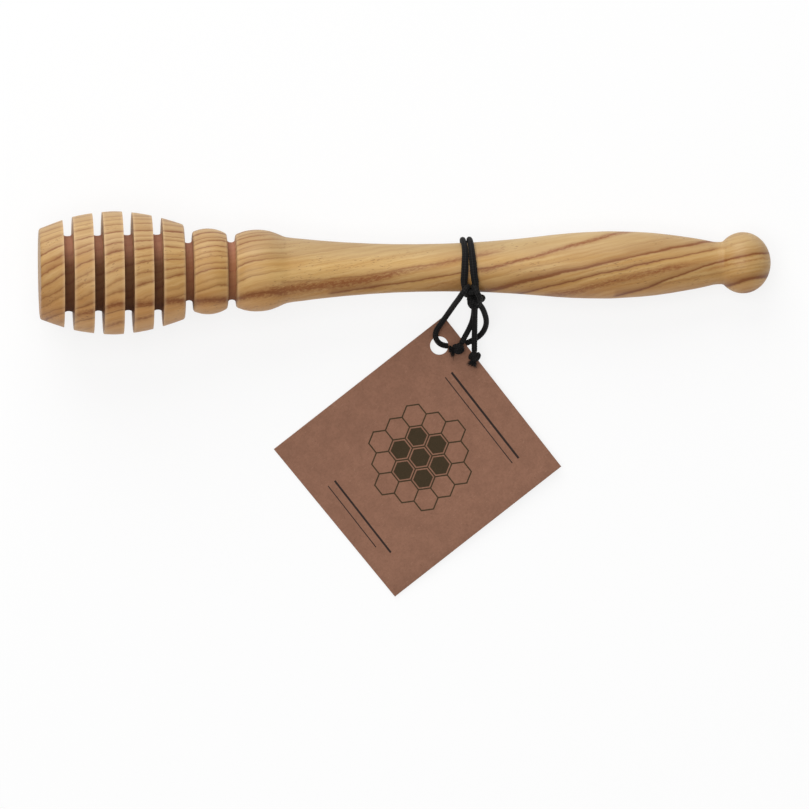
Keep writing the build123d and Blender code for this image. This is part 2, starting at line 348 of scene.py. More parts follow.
# %% Sharp lines that wander off the sheets: place, sharp side, soft side, strength, start and end
creases = [
    (lambda along: (7.05 - along * 0.133).at_most(4.95).at_least(-0.25), 0.16, 0.2, 0.9, 14.0, 53.0),
    (lambda along: (8.3 - along * 0.1235).at_least(2.3 - along * 0.0405), 0.25, 0.12, 0.6, 54.0, 103.0),
    (lambda along: (3.0 - along * 0.082).at_least(0.55 - along * 0.052), 0.16, 0.3, 1.0, 65.0, 103.0),
    (lambda along: (along * 0.074 - 12.9).at_least(-5.05), 0.14, 0.2, 0.6, 99.0, 128.0),
    (lambda along: (along * 0.15 - 37.2).at_least(-16.9).at_most(-14.8), 0.25, 0.5, 1.15, 129.0, 165.0),
]
print("sharp lines that wander:", len(creases))

# %% Draw the growth lines
line_haze = 0.12
patch_share = 1.5
least_patch_share = 0.25
crease_fade_in = 1.0
crease_fade_out = (3.0, 4.0)

# Where the growth lines are paler: from where to where along and across the sheets, and how much.
paler_parts = [(43.0, 60.0, 0.3, 1.5, 0.6), (151.0, 154.0, -15.2, -14.0, 0.7)]


def drawn(gap, sharp, soft, strength):
    """A line that ends sharply below its place and fades above it."""
    below = (gap * (-1 / sharp)).at_least(0.0)
    return strength / (gap.at_least(0.0) * (1 / soft) + below * below + 1.0)


def line_strength(wood, along, sheet, patches):
    """How much of the dark colour of the growth lines each point takes."""
    line = 0.0
    for place, sharp, soft, strength in growth_lines:
        line = line + drawn(sheet - place, sharp, soft, strength)
    line = (line - line_haze) * (patches * patch_share + least_patch_share)
    line = line.at_least(0.0).at_most(1.0)
    for start, end, low, high, share in paler_parts:
        line = line * (1.0 - wood.step(along, start, end) * wood.step(sheet, low, high) * share)
    before_end, after_end = crease_fade_out
    for place, sharp, soft, strength, start, end in creases:
        begun = wood.step(along, start - crease_fade_in, start + crease_fade_in)
        within = begun * wood.fall(along, end - before_end, end + after_end)
        line = line.at_least(drawn(sheet - place(along), sharp, soft, strength) * within)
    return line


# %% Broader brown streaks: the place of each, its width and strength, and where it starts and ends
streaks = [
    (lambda along: (6.9 - along * 0.133).at_most(4.8).at_least(-0.4), 0.55, 1.0, 7.0, 54.0),
    (lambda along: (6.2 - along * 0.106).at_least(-1.55), 0.65, 0.7, 52.0, 103.0),
    (lambda along: (5.9 - along * 0.106).at_least(-1.7), 1.3, 0.55, 50.0, 80.0),
    (lambda along: -1.3 - along * 0.05, 1.1, 0.4, 86.0, 99.0),
    (lambda along: 1.2, 0.4, 0.9, 13.0, 27.0),
    (lambda along: (along * 0.074 - 12.8).at_least(-4.95), 0.5, 0.95, 98.0, 140.0),
    (lambda along: -13.7, 0.9, 0.9, 110.0, 147.0),
    (lambda along: -15.9, 0.3, 0.6, 150.0, 165.0),
]
streak_fade_in = 4.0
streak_fade_out = 5.0
streak_grain_share = 0.8
least_streak_share = 0.4
greatest_streak_share = 0.95
print("broad streaks:", len(streaks))


def streak_strength(wood, along, sheet, grain):
    """How much of the streaks' brown each point takes."""
    brown = 0.0
    for place, width, strength, start, end in streaks:
        begun = wood.step(along, start - streak_fade_in, start + streak_fade_in)
        within = begun * wood.fall(along, end - streak_fade_out, end + streak_fade_out)
        brown = (sheet - place(along)).hump(width) * within * strength + brown
    grainy = wood.step(grain, 0.25, 0.75) * streak_grain_share + least_streak_share
    return (brown * grainy).at_most(greatest_streak_share)


# %% [markdown]
# ## Painted highlights on the edges and painted shade in the grooves
#
# The edges of the discs, the bead and the collar are painted pale, as a painted highlight where their
# rounding catches the light. The floors of the grooves are painted dark, as painted shade, and they are
# rougher and have no coat. Both follow from the distance along the dipper and from its axis, so one finish holds
# them all.

# %% The edges of the discs, the bead and the collar, which take painted highlights
rim_stations = (5.34, 7.59, 12.04, 14.29, 18.74, 20.99, 25.4, 27.65, 32.59, 34.51, 42.24, 44.16)
edge_highlight_width = 0.45


def painted_edge_highlight(along):
    """Painted highlight: 1 on each of these edges, fading beside it."""
    rim = 0.0
    for station in rim_stations:
        rim = (along - station).hump(edge_highlight_width) + rim
    return rim


# %% The groove floors, which take painted shade: from where to where they lie, and inside which radius
groove_start = 5.1
groove_end = 44.1
station_blur = 0.3
groove_radius = 9.05
bead_radius_drop = 1.75
bead_stations = (32.0, 34.0)
radius_blur = 0.35


def groove_share(wood, along, across, height):
    """1 on the floor of a groove and 0 on the turned outside."""
    reach = (across * across + height * height).root()
    inside = groove_radius - wood.step(along, *bead_stations) * bead_radius_drop - reach
    deep = wood.step(inside, -radius_blur, radius_blur)
    after = wood.step(along, groove_start - station_blur, groove_start + station_blur)
    return deep * after * wood.fall(along, groove_end - station_blur, groove_end + station_blur)


def painted_groove_shade(wood, along, across):
    """Painted shade on the floors: darkest between the discs, paler by the bead, and paler towards the far side as
    painted light from that side.
    """
    colour = wood.mix(wood.step(along, 30.5, 32.5), srgb(92, 54, 34), srgb(138, 86, 58))
    return wood.mix(wood.step(across, 0.5, 7.5), colour, srgb(168, 116, 94))


# %% Make the wood
wood_roughness = 0.46
wood_coat = 0.1
grain_depth = 0.05 * MM


def olive_wood():
    wood = Finish("olive_wood", Specular_IOR_Level=0.35, Coat_Roughness=0.3)
    along = wood.along(grip_way, nose_middle)
    across = wood.along(grip_side, nose_middle)
    height = wood.along(grip_up, nose_middle)
    sheet, depth = growth_sheets(wood, along, across, height)
    noises = noises_along_sheets(wood, along, sheet, depth)
    bands, fibres = noises["bands"], noises["fibres"]
    pores = wood.step(noises["pores"], 0.64, 0.72) * wood.step(noises["pore_groups"], 0.48, 0.6)
    # Where along the grip its far side takes a painted grey sheen.
    grip_sheen_share = wood.step(along, 42.0, 56.0) * (0.5 - wood.step(along, 100.0, 125.0) * 0.2)
    in_groove = groove_share(wood, along, across, height)
    layers = {
        "darker bands": (wood.step(bands, 0.3, 0.7), srgb(196, 153, 87)),
        "clouds": (wood.step(noises["clouds"], 0.35, 0.7) * 0.35, srgb(192, 146, 80)),
        # Painted shade: the near side, away from the light, is made redder and darker.
        "painted shade on the near side": (wood.fall(across, -9.0, 0.0) * 0.5, srgb(206, 138, 76)),
        # Painted sheen: the far side, towards the light, is made paler.
        "painted sheen on the far side": (wood.step(across, 1.0, 9.0) * 0.35, srgb(222, 198, 152)),
        # Painted sheen on the grip's far side: it is made greyer and a little darker.
        "painted grey sheen on the grip's far side": (wood.step(across, 0.5, 4.5) * grip_sheen_share, srgb(164, 142, 105)),
        "broad streaks": (streak_strength(wood, along, sheet, noises["grain"]), srgb(140, 80, 36)),
        "growth lines": (line_strength(wood, along, sheet, noises["patches"]) * 0.95, srgb(124, 68, 26)),
        "pores": (pores * 0.7, srgb(112, 70, 40)),
        "fibres": (fibres * 0.16, srgb(146, 98, 54)),
        # Painted highlights on the rounded edges, kept off the groove floors.
        "painted edge highlights": (painted_edge_highlight(along) * (0.26 - in_groove * 0.26), srgb(228, 198, 158)),
        # Painted shade on the groove floors, darker than the light alone makes them.
        "painted shade in the groove floors": (in_groove * 0.88, painted_groove_shade(wood, along, across)),
    }
    wood.feed("Base Color", wood.layered(srgb(219, 184, 122), layers))
    wood.feed("Coat Weight", wood_coat - in_groove * wood_coat)
    wood.feed("Roughness", (wood_roughness + bands * 0.12) + in_groove * 0.35)
    wood.feed("Normal", wood.bump(bands * 0.6 + fibres * 0.4 - pores, 0.25, grain_depth))
    print("layers of the wood's colour:", ", ".join(layers))
    return wood.material


dipper = frame["nodes"]["dipper"]
dipper.data.materials.clear()
dipper.data.materials.append(olive_wood())

# %% [markdown]
# ## A line for each cord
#
# A limp cord takes smooth bends. A NURBS curve with a few control points gives them, and Blender can
# hand its line back as points. The braid is built as a mesh around those points, because a plain
# bevelled curve would show a smooth rod.

# %% Follow a NURBS line, and space points evenly on it
line_steps = 20


def line_through(controls):
    """Points of the smooth NURBS line that a row of control points gives."""
    curve = bpy.data.curves.new("line", "CURVE")
    curve.dimensions = "3D"
    curve.resolution_u = line_steps
    spline = curve.splines.new("NURBS")
    spline.points.add(len(controls) - 1)
    for point, place in zip(spline.points, controls):
        point.co = (*place, 1)
    spline.order_u = 3
    spline.use_endpoint_u = True
    holder = bpy.data.objects.new("line", curve)
    mesh = bpy.data.meshes.new_from_object(holder)
    places = np.array([vertex.co for vertex in mesh.vertices])
    bpy.data.objects.remove(holder)
    bpy.data.curves.remove(curve)
    bpy.data.meshes.remove(mesh)
    return places


def spaced(places, gap):
    """Points a steady distance apart along a row of points."""
    steps = np.linalg.norm(np.diff(places, axis=0), axis=1)
    reached = np.concatenate([[0], np.cumsum(steps)])
    count = int(round(reached[-1] / gap))
    stops = np.linspace(0, reached[-1], count + 1)
    return np.stack([np.interp(stops, reached, places[:, axis]) for axis in range(3)], axis=1)


# %% [markdown]
# ## Rings of points around a line
#
# Each ring is carried along from the one before without twisting. The surface stands out where the
# strands of the braid cross, in a pattern of small diamonds, and it closes over its ends like a
# cord that has been melted or tucked in.

# %% Carry rings along a line
first_side = (0.31, 0.52, 0.79)


def carried_rings(places, closed):
    """Two directions square to the line at each point, carried along without twisting."""
    if closed:
        ways = np.roll(places, -1, axis=0) - np.roll(places, 1, axis=0)
    else:
        ways = np.gradient(places, axis=0)
    ways /= np.linalg.norm(ways, axis=1, keepdims=True)
    side = np.cross(ways[0], first_side)
    sides = []
    for way in ways:
        side = side - way * side.dot(way)
        side /= np.linalg.norm(side)
        sides.append(side)
    sides = np.array(sides)
    return sides, np.cross(ways, sides)


# %% Make a braided tube
ring_points = 28
ring_gap = 0.11 * MM
plaits_round = 4
plait_length = 0.56 * MM
plait_height_share = 0.055
end_opening = 0.06


def tube_skin(distance, gap, radius, points, closed):
    """Faces between rings of points, and for each corner how far it lies round and along the cord."""
    count = len(distance)
    faces, marks = [], []
    for ring in range(count if closed else count - 1):
        here, after = ring * points, (ring + 1) % count * points
        start, end = distance[ring] / radius, (distance[ring] + gap) / radius
        for point in range(points):
            beside = (point + 1) % points
            faces.append((here + point, here + beside, after + beside, after + point))
            left, right = point / points, (point + 1) / points
            marks += [(left, start), (right, start), (right, end), (left, end)]
    if not closed:
        for ring in (0, count - 1):
            loop = [ring * points + point for point in range(points)]
            faces.append(tuple(loop[::-1] if ring == 0 else loop))
            marks += [(0.5, distance[ring] / radius)] * points
    return faces, marks


def braided_tube(places, radius, closed=False, plaited=True, points=ring_points, taper=None):
    """Points, faces and cord coordinates of a tube along evenly spaced places."""
    count = len(places)
    first, second = carried_rings(places, closed)
    gap = np.linalg.norm(places[1] - places[0])
    distance = np.arange(count) * gap
    widths = np.full(count, radius) if taper is None else radius * taper
    if not closed:
        near_end = np.minimum(distance, distance[::-1]) / radius
        widths = widths * np.sqrt(1 - (1 - np.clip(near_end + end_opening, 0, 1)) ** 2)
    turns = np.arange(points) / points * tau
    relief = np.ones((count, points))
    if plaited:
        slip = distance[:, None] * pi / plait_length
        one_way, other_way = plaits_round * turns + slip, plaits_round * turns - slip
        relief += plait_height_share * np.cos(one_way) * np.cos(other_way)
    reach = widths[:, None] * relief
    rings = (
        places[:, None, :]
        + (reach * np.cos(turns))[..., None] * first[:, None, :]
        + (reach * np.sin(turns))[..., None] * second[:, None, :]
    )
    faces, marks = tube_skin(distance, gap, radius, points, closed)
    return rings.reshape(-1, 3), faces, marks


# %% Join parts, and make a piece of them
def joined(parts):
    """Several sets of points, faces and coordinates as one."""
    points, faces, marks = [], [], []
    for part_points, part_faces, part_marks in parts:
        start = sum(len(some) for some in points)
        points.append(part_points)
        faces += [tuple(index + start for index in face) for face in part_faces]
        marks += part_marks
    return np.concatenate(points), faces, marks


def mesh_piece(name, points, faces, finish, marks=None):
    """A smooth mesh object from points and faces."""
    mesh = bpy.data.meshes.new(name)
    mesh.from_pydata([tuple(point) for point in points], [], faces)
    if marks is not None:
        layer = mesh.uv_layers.new(name="cord")
        layer.data.foreach_set("uv", np.array(marks, float).ravel())
    mesh.polygons.foreach_set("use_smooth", np.ones(len(faces), bool))
    mesh.materials.append(finish)
    mesh.update()
    piece = bpy.data.objects.new(name, mesh)
    bpy.context.scene.collection.objects.link(piece)
    return piece


# %% [markdown]
# ## Black braided cord
#
# The cord is a soft black braid. Up close it isn't quite black: the crowns of the plaits are painted
# paler, as a painted highlight, and the dips between them stay dark. The braid's own coordinates run
# round and along it, so the pattern follows every bend.

# %% The cord's finish
cord_diameter = 1.25 * MM
cord_radius = cord_diameter / 2
hair_rates = (60.0, 3.0, 2.0)
hair_depth = 0.04 * MM


def braided_cord():
    cord = Finish("black_cord", Specular_IOR_Level=0.2, Sheen_Weight=0.02, Sheen_Roughness=0.6)
    place = cord.add("ShaderNodeTexCoord")["UV"]
    split = cord.add("ShaderNodeSeparateXYZ", values={"Vector": place})
    turn = split["X"] * (plaits_round * tau)
    slip = split["Y"] * (cord_radius * pi / plait_length)
    crown = (turn + slip).cosine() * (turn - slip).cosine()
    round_rate, along_rate, slip_rate = hair_rates
    hair = cord.noise((split["X"] * round_rate, split["Y"] * along_rate, slip * slip_rate), 2.0)
    # Painted highlight on the crowns of the plaits, broken up by the fibres' noise.
    light = cord.step(crown + hair * 0.8, -0.2, 1.5)
    cord.feed("Base Color", cord.mix(light, srgb(6, 5, 5), srgb(25, 23, 23)))
    cord.feed("Roughness", 0.82 - light * 0.18)
    cord.feed("Normal", cord.bump(crown * 0.5 + hair * 0.5, 0.5, hair_depth))
    return cord.material


black_cord = braided_cord()
print("cord:", round(cord_diameter / MM, 2), "mm thick")

# %% [markdown]
# ## The hitch round the grip
#
# The doubled cord comes over the grip from the far side, and its bight crosses the near side as a
# short bar. Both legs come up from under the grip, between that bar and the wood, turn back over
# the bar and leave towards the tag. Each point of the cord has an angle round the grip and a shift
# along it. A ray cast at the wood says how far out the cord lies, so it rests on the real surface.

# %% Place cord on the grip
seat_gap = 0.08 * MM
ray_reach = 50 * MM
control_turn = 15.0
nurbs_outset_share = 1 / cos(radians(control_turn / 2))
wood_surface = BVHTree.FromObject(dipper, bpy.context.evaluated_depsgraph_get())


def on_grip(turn, shift, lift=0.0):
    """A point on the cord's middle: 90 degrees is up, 180 the tag's side."""
    out = grip_side * cos(radians(turn)) + grip_up * sin(radians(turn))
    middle = tie_middle + grip_way * shift
    hit = wood_surface.ray_cast(middle + out * ray_reach, -out)[0]
    wood = (hit - middle).length
    return middle + out * ((wood + seat_gap + cord_radius + lift) * nurbs_outset_share)


# %% Lay the hitch
bar_turn = 138.0
bar_reach = 7.7 * MM

# At these angles round the grip, in millimetres: the middle between the two strands, how far each
# lies from it, and how far they are lifted off the wood.
course_turns = (138, 180, 270, 360, 418, 444, 470, 484, 498)
course_middles = (0.34, 0.36, 0.30, -0.31, -0.01, 0.01, 0.02, 0.14, 0.34)
course_spreads = (0.63, 0.70, 0.76, 0.76, 0.73, 0.90, 1.10, 1.30, 1.55)
course_lifts = (0, 0, 0, 0, 0, 0, 0, 0.15, 0.87)
strand_end_gap = 1.0

# The bar's points from side to side, its rise over the legs and how far out it keeps it.
bar_shares = (0.88, 0.0, -0.88)
bar_rise = 1.27
bar_flat_reach = 0.63

# Each leg's turn over the bar, and where it lies along the grip, under, beside and over the bar.
swing_gap = 45.0
swing_steps = [swing_gap * step for step in (-1.5, -0.5, 0.5, 1.5)]
swing_ends = (-90, 0, 90)
left_swing_shifts = (-0.29, -0.4, -2.2)
right_swing_shifts = (0.97, 1.15, 2.2)


def strand_place(side, turn):
    """One strand, from under the bar at 138 degrees, round under the grip and over it to the bar."""
    middle = np.interp(turn, course_turns, course_middles)
    lift = np.interp(turn, course_turns, course_lifts) * MM
    return on_grip(turn, (middle + side * np.interp(turn, course_turns, course_spreads)) * MM, lift)


def bar_place(share):
    """The bar that crosses over both legs, from one side at -1 to the other at 1."""
    apart = course_spreads[-1] * abs(share)
    lift = sqrt(bar_rise ** 2 - max(0.0, apart - bar_flat_reach) ** 2) * MM
    return on_grip(bar_turn, (course_middles[-1] + course_spreads[-1] * share) * MM, lift)


def swing_place(swing, shifts):
    """A leg that turns round the bar: under it at -90 degrees, over it at 90."""
    reach = cord_diameter / cos(radians(swing_gap / 2))
    turn = bar_turn - reach * cos(radians(swing)) / bar_reach * 180 / pi
    shift = np.interp(swing, swing_ends, shifts) * MM
    return on_grip(turn, shift, cord_diameter + reach * sin(radians(swing)))


strand_turns = np.arange(bar_turn + control_turn, course_turns[-1] - strand_end_gap, control_turn)
left_strand = [strand_place(-1, turn) for turn in strand_turns]
right_strand = [strand_place(1, turn) for turn in strand_turns]
bar = [bar_place(share) for share in bar_shares]
left_swing = [swing_place(swing, left_swing_shifts) for swing in swing_steps]
right_swing = [swing_place(swing, right_swing_shifts) for swing in swing_steps]
print("left leg leaves the bar at", left_swing[-1])

# %% [markdown]
# ## A pulled cord goes flat
#
# A soft braid that is pulled tight over a hard, round grip spreads sideways and loses height. So the
# points of the tube near the top of the grip are moved: outwards along the grip and down towards
# the wood. The share of the squeeze follows the angle round the grip, so it comes and goes smoothly.

# %% Press the cord flat where it is pulled tight
press_turns = (0, 30, 60, 84, 118, 134, 360)
press_shares = (0, 0.15, 0.5, 1, 1, 0, 0)
pressed_reach = 7.0 * MM
pressed_fade = 0.4 * MM
pressed_width = 1.28
pressed_height = 0.86


def pressed(places, points):
    """Points of a tube, made wide and low where it is pulled tight over the top of the grip."""
    side, up, way = (np.array(direction) for direction in (grip_side, grip_up, grip_way))
    from_axis = places - np.array(tie_middle)
    from_axis = from_axis - (from_axis @ way)[:, None] * way
    reach = np.linalg.norm(from_axis, axis=1)
    out = (from_axis / reach[:, None])[:, None, :]
    turns = np.degrees(np.arctan2(from_axis @ up, from_axis @ side)) % 360
    near_wood = np.clip((pressed_reach - reach) / pressed_fade, 0, 1)
    press = np.interp(turns, press_turns, press_shares) * near_wood
    width = (1 + (pressed_width - 1) * press)[:, None, None]
    height = (1 + (pressed_height - 1) * press)[:, None, None]
    offsets = points.reshape(len(places), -1, 3) - places[:, None, :]
    outward = (offsets * out).sum(axis=2, keepdims=True)
    offsets = offsets * width + out * outward * (height - width)
    return (places[:, None, :] + offsets).reshape(-1, 3)


# %% [markdown]
# ## The loop through the tag
#
# From its left leg the cord drops to the card, dips through the hole from above, runs on under the
# card and climbs back to the main knot. Its points are listed in millimetres.

# %% Lay the loop
def in_mm(*places):
    return [Vector(place) * MM for place in places]


knot_middle = Vector((15.85, -7.3, 11.6)) * MM
left_leg = in_mm((12.15, -7.15, 14.4), (11.25, -8.25, 11.6), (10.35, -9.5, 8.2))
tag_loop = in_mm(
    (9.4, -10.8, 6.3), (8.35, -12.2, 4.6), (7.2, -13.7, 3.3), (6.7, -15.0, 2.9), (7.0, -16.3, 2.75),
    (7.9, -17.25, 1.65), (9.3, -17.65, 0.72), (11.2, -17.6, 0.66), (13.4, -17.2, 0.66), (15.3, -16.4, 0.66),
    (17.0, -15.3, 1.05), (18.0, -13.9, 2.4), (18.4, -12.2, 4.4), (17.9, -10.2, 7.2),
)
right_leg = in_mm((17.15, -8.7, 9.7))
right_return = in_mm((16.6, -7.5, 12.9), (17.05, -7.2, 14.7))
cord_controls = (
    [knot_middle] + right_return + right_swing[::-1] + right_strand + bar
    + left_strand[::-1] + left_swing + left_leg + tag_loop + right_leg + [knot_middle]
)
cord_line = line_through(cord_controls)
cord_places = spaced(cord_line, ring_gap)
points, faces, marks = braided_tube(cord_places, cord_radius)
tie_cord = mesh_piece("tie_cord", pressed(cord_places, points), faces, black_cord, marks)
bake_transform(tie_cord)
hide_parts("tie_wraps", "tag_loop")


# %% Find the cord's tightest bend
least_area = 1e-15


def bend_radii(places, reach=3):
    """The radius of the circle through each point and the points a few steps before and after it."""
    before, here, after = places[:-2 * reach], places[reach:-reach], places[2 * reach:]
    sides = [np.linalg.norm(a - b, axis=1) for a, b in ((before, here), (here, after), (after, before))]
    area = np.linalg.norm(np.cross(here - before, after - before), axis=1) / 2
    return sides[0] * sides[1] * sides[2] / np.maximum(4 * area, least_area)


print("tightest bend:", round(bend_radii(cord_places).min() / MM, 2), "mm")

# %% [markdown]
# ## Knots
#
# A knot is cord that winds through itself, so a closed curve that really is knotted looks right from
# every side. The trefoil is the simplest one. Each knot here is two tight trefoils, one set across
# the other, so that it has no thin side.

# %% Tie a knot
knot_steps = 160
knot_ring_points = 20
knot_height_share = 1.4


def knot_lump(middle, way, reach, radius, turn, height=1.0):
    """A tight trefoil around a point, facing along a direction."""
    way = way.normalized()
    side = way.orthogonal().normalized()
    other = way.cross(side)
    angles = np.linspace(0, tau, knot_steps, endpoint=False)
    scale = (reach - radius) / 3
    a = (np.sin(angles) + 2 * np.sin(2 * angles)) * scale
    b = (np.cos(angles) - 2 * np.cos(2 * angles)) * scale
    c = -np.sin(3 * angles) * scale * knot_height_share * height
    first = np.array(side * cos(turn) + other * sin(turn))
    second = np.array(other * cos(turn) - side * sin(turn))
    places = np.array(middle) + a[:, None] * first + b[:, None] * second + c[:, None] * np.array(way)
    return braided_tube(places, radius, closed=True, points=knot_ring_points)


# %% Make the main knot
knot_reach = 2.35 * MM
inner_knot_reach = 2.05 * MM
knot_cord_radius = 0.66 * MM
knot_way = Vector((0.15, -0.35, 1))
inner_knot_way = Vector((1, 0.3, 0.35))
inner_knot_middle = knot_middle + Vector((-0.2, -0.3, 0.1)) * MM

main_knot_parts = [
    knot_lump(knot_middle, knot_way, knot_reach, knot_cord_radius, turn=0.9),
    knot_lump(inner_knot_middle, inner_knot_way, inner_knot_reach, knot_cord_radius, turn=0.2),
]
points, faces, marks = joined(main_knot_parts)
main_knot = mesh_piece("main_knot", points, faces, black_cord, marks)
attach(main_knot, "hitch")
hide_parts("tie_knot")
print("main knot:", len(faces), "faces")

# %% [markdown]
# ## The two tails
#
# The ends of the cord come out below the main knot and hang towards the card. They are laid like the
# loop.

# %% Lay the two tails
right_tail = in_mm(
    (15.8, -8.2, 11.2), (15.75, -9.6, 9.0), (15.7, -11.2, 6.7), (15.65, -13.3, 4.9), (15.58, -15.6, 4.0),
    (15.52, -17.9, 3.6), (15.5, -19.3, 3.45),
)
left_tail = in_mm(
    (15.6, -8.2, 10.0), (15.6, -9.8, 7.6), (15.3, -11.8, 5.3), (14.45, -13.8, 4.1), (13.3, -15.8, 3.65),
    (12.5, -17.3, 3.5),
)


def lay_tail(name, controls, node):
    """A tail of cord, laid from the main knot towards the card."""
    places = spaced(line_through(controls), ring_gap)
    points, faces, marks = braided_tube(places, cord_radius)
    tail = mesh_piece(name, points, faces, black_cord, marks)
    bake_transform(tail)
    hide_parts(node)
    print(name, "runs", round((len(places) - 1) * ring_gap / MM, 1), "mm")


lay_tail("right_tail_cord", right_tail, "right_tail")
lay_tail("left_tail_cord", left_tail, "left_tail")

# %% [markdown]
# ## Frayed ends
#
# Below each stopper knot the braid has come apart into fine threads that spread out and curl. Each
# thread is a thin tapering tube with a bend of its own, from a seeded random generator, so that the
# result is the same each time.

# %% Fray an end
thread_count = 110
thread_length = 2.1 * MM
shortest_share = 0.65
thread_radius = 0.075 * MM
thread_tip_share = 0.45
thread_points = 5
thread_steps = 9
root_reach = 0.42 * MM
fan_power = 1.3
fan_shortening = 0.25
greatest_curl = 0.25
floor_gap = 0.1 * MM


def frayed(start, way, spread, seed):
    """Thin threads that leave a point and fan out."""
    chance = np.random.default_rng(seed)
    way = way.normalized()
    side = way.orthogonal().normalized()
    other = way.cross(side)
    threads = []
    for _ in range(thread_count):
        angle = chance.uniform(0, tau)
        out = side * cos(angle) + other * sin(angle)
        fan = spread * sqrt(chance.uniform(0, 1))
        length = thread_length * chance.uniform(shortest_share, 1.0)
        root = start + out * (root_reach * sqrt(chance.uniform(0, 1)))
        curl = side * chance.uniform(-greatest_curl, greatest_curl)
        curl = curl + other * chance.uniform(-greatest_curl, greatest_curl)
        places = []
        for share in np.linspace(0, 1, thread_steps):
            place = root + way * length * share * (1 - fan_shortening * fan * share)
            place = place + (out * fan + curl * share) * (length * share ** fan_power)
            place.z = max(place.z, floor_gap)
            places.append(place)
        taper = np.linspace(1, thread_tip_share, thread_steps)
        thread = braided_tube(
            np.array(places), thread_radius, plaited=False, points=thread_points, taper=taper,
        )
        threads.append(thread)
    return threads


# %% Make the two stopper knots
stopper_reach = 1.4 * MM
stopper_cord_radius = 0.55 * MM
inner_stopper_reach = 1.25 * MM
inner_stopper_cord_radius = 0.52 * MM
fray_start = 0.5 * MM


def end_knot(name, tail, knot_shift, way, spread, node, seed):
    """A stopper knot with its frayed end."""
    middle = tail[-1] + knot_shift * MM
    parts = [
        knot_lump(middle, way, stopper_reach, stopper_cord_radius, turn=0.3, height=1.5),
        knot_lump(
            middle, way.orthogonal(), inner_stopper_reach, inner_stopper_cord_radius, turn=1.1, height=1.3,
        ),
    ]
    parts += frayed(middle + way.normalized() * fray_start, way, spread, seed)
    points, faces, marks = joined(parts)
    piece = mesh_piece(name, points, faces, black_cord, marks)
    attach(piece, "hanger")
    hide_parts(node)
    print(name, "has", len(faces), "faces")


end_knot(
    "left_stopper_knot", left_tail, Vector((-0.6, -0.85, -0.1)), Vector((-1, -0.4, -0.15)), 0.8,
    "left_end_knot", 3,
)
end_knot(
    "right_stopper_knot", right_tail, Vector((0.05, -0.75, -0.1)), Vector((-0.35, -1, -0.2)), 0.4,
    "right_end_knot", 5,
)

# %% [markdown]
# ## The card
#
# The tag is stiff kraft card with one punched hole. A sheet of quads between the hole and the
# outline lets the card bow very slightly, as card does, and a small bevel softens its cut edges.

# %% Place the card's outline
tag_turn = radians(37.1)
card_length = 48.0 * MM
card_width = 43.0 * MM
card_thickness = 0.5 * MM
hole_radius = 2.05 * MM
hole_to_end = 4.8 * MM
hole_to_side = 4.6 * MM
card_bow = 0.22 * MM
askew_low_side = 0.4 * MM
askew_high_side = -0.63 * MM
least_slope = 1e-9

side_way = Vector((-sin(tag_turn), cos(tag_turn), 0))
length_way = side_way.cross(card_up)
low_end, high_end = hole_to_end - card_length, hole_to_end
low_side, high_side = hole_to_side - card_width, hole_to_side
print("card", round(card_length / MM), "by", round(card_width / MM), "mm")


def outline_reach(turn):
    """Distance from the hole's middle to the card's edge in a direction."""
    a, b = cos(turn), sin(turn)
    reaches = []
    if abs(a) > least_slope:
        reaches.append(high_end / a if a > 0 else low_end / a)
    if abs(b) > least_slope:
        reaches.append(high_side / b if b > 0 else low_side / b)
    return min(reaches)


def askew(a, b):
    """How far a point moves along the card, because its far end is cut a little out of square."""
    side_share = (b - low_side) / card_width
    shift = askew_low_side + (askew_high_side - askew_low_side) * side_share
    return (high_end - a) / card_length * shift


# %% Make the card
card_spokes = 160
card_rings = 22
ring_crowding = 1.6
edge_bevel = 0.06 * MM
bevel_steps = 2
bevel_angle = radians(50)


def card_points(turns, shares):
    """Rings of points from the hole out to the outline, for the lower face and then the upper."""
    points = []
    for face in (0, 1):
        for share in shares:
            for turn in turns:
                reach = hole_radius + (outline_reach(turn) - hole_radius) * share
                a, b = reach * cos(turn), reach * sin(turn)
                middle = (a - (low_end + high_end) / 2) / (card_length / 2)
                a += askew(a, b)
                rise = card_bow * (1 - middle ** 2) + card_thickness * (face - 0.5)
                points.append(hole_middle + length_way * a + side_way * b + card_up * rise)
    return points


def card_faces(count, rings):
    """Quads between the rings of both faces, and the walls of the hole and of the outline."""
    faces = []
    for face in (0, 1):
        start = face * count * rings
        for ring in range(rings - 1):
            for spot in range(count):
                beside = (spot + 1) % count
                quad = (
                    start + ring * count + spot, start + (ring + 1) * count + spot,
                    start + (ring + 1) * count + beside, start + ring * count + beside,
                )
                faces.append(quad if face else quad[::-1])
    for ring in (0, rings - 1):
        for spot in range(count):
            beside = (spot + 1) % count
            low, high = ring * count, (rings + ring) * count
            quad = (low + spot, low + beside, high + beside, high + spot)
            faces.append(quad if ring else quad[::-1])
    return faces


def card_mesh(name, finish):
    """The card, with a spoke of points to each corner and its edges bevelled."""
    corners = [np.arctan2(b, a) % tau for a in (low_end, high_end) for b in (low_side, high_side)]
    turns = sorted(set(np.linspace(0, tau, card_spokes, endpoint=False)) | set(corners))
    shares = np.linspace(0, 1, card_rings) ** ring_crowding
    faces = card_faces(len(turns), card_rings)
    piece = mesh_piece(name, card_points(turns, shares), faces, finish)
    bevel = piece.modifiers.new("softened_edges", "BEVEL")
    bevel.width = edge_bevel
    bevel.segments = bevel_steps
    bevel.angle_limit = bevel_angle
    return piece


# %% [markdown]
# ## Kraft card and its print
#
# Kraft card is brown pulp: mottled, with short fibres that are lighter or darker than the rest. The
# print is a plain honeycomb of nineteen cells in dark olive ink, seven of them filled, with black
# rules along two edges. Each cell comes from the distance to its six sides, so the ink has sharp
# edges at any zoom.

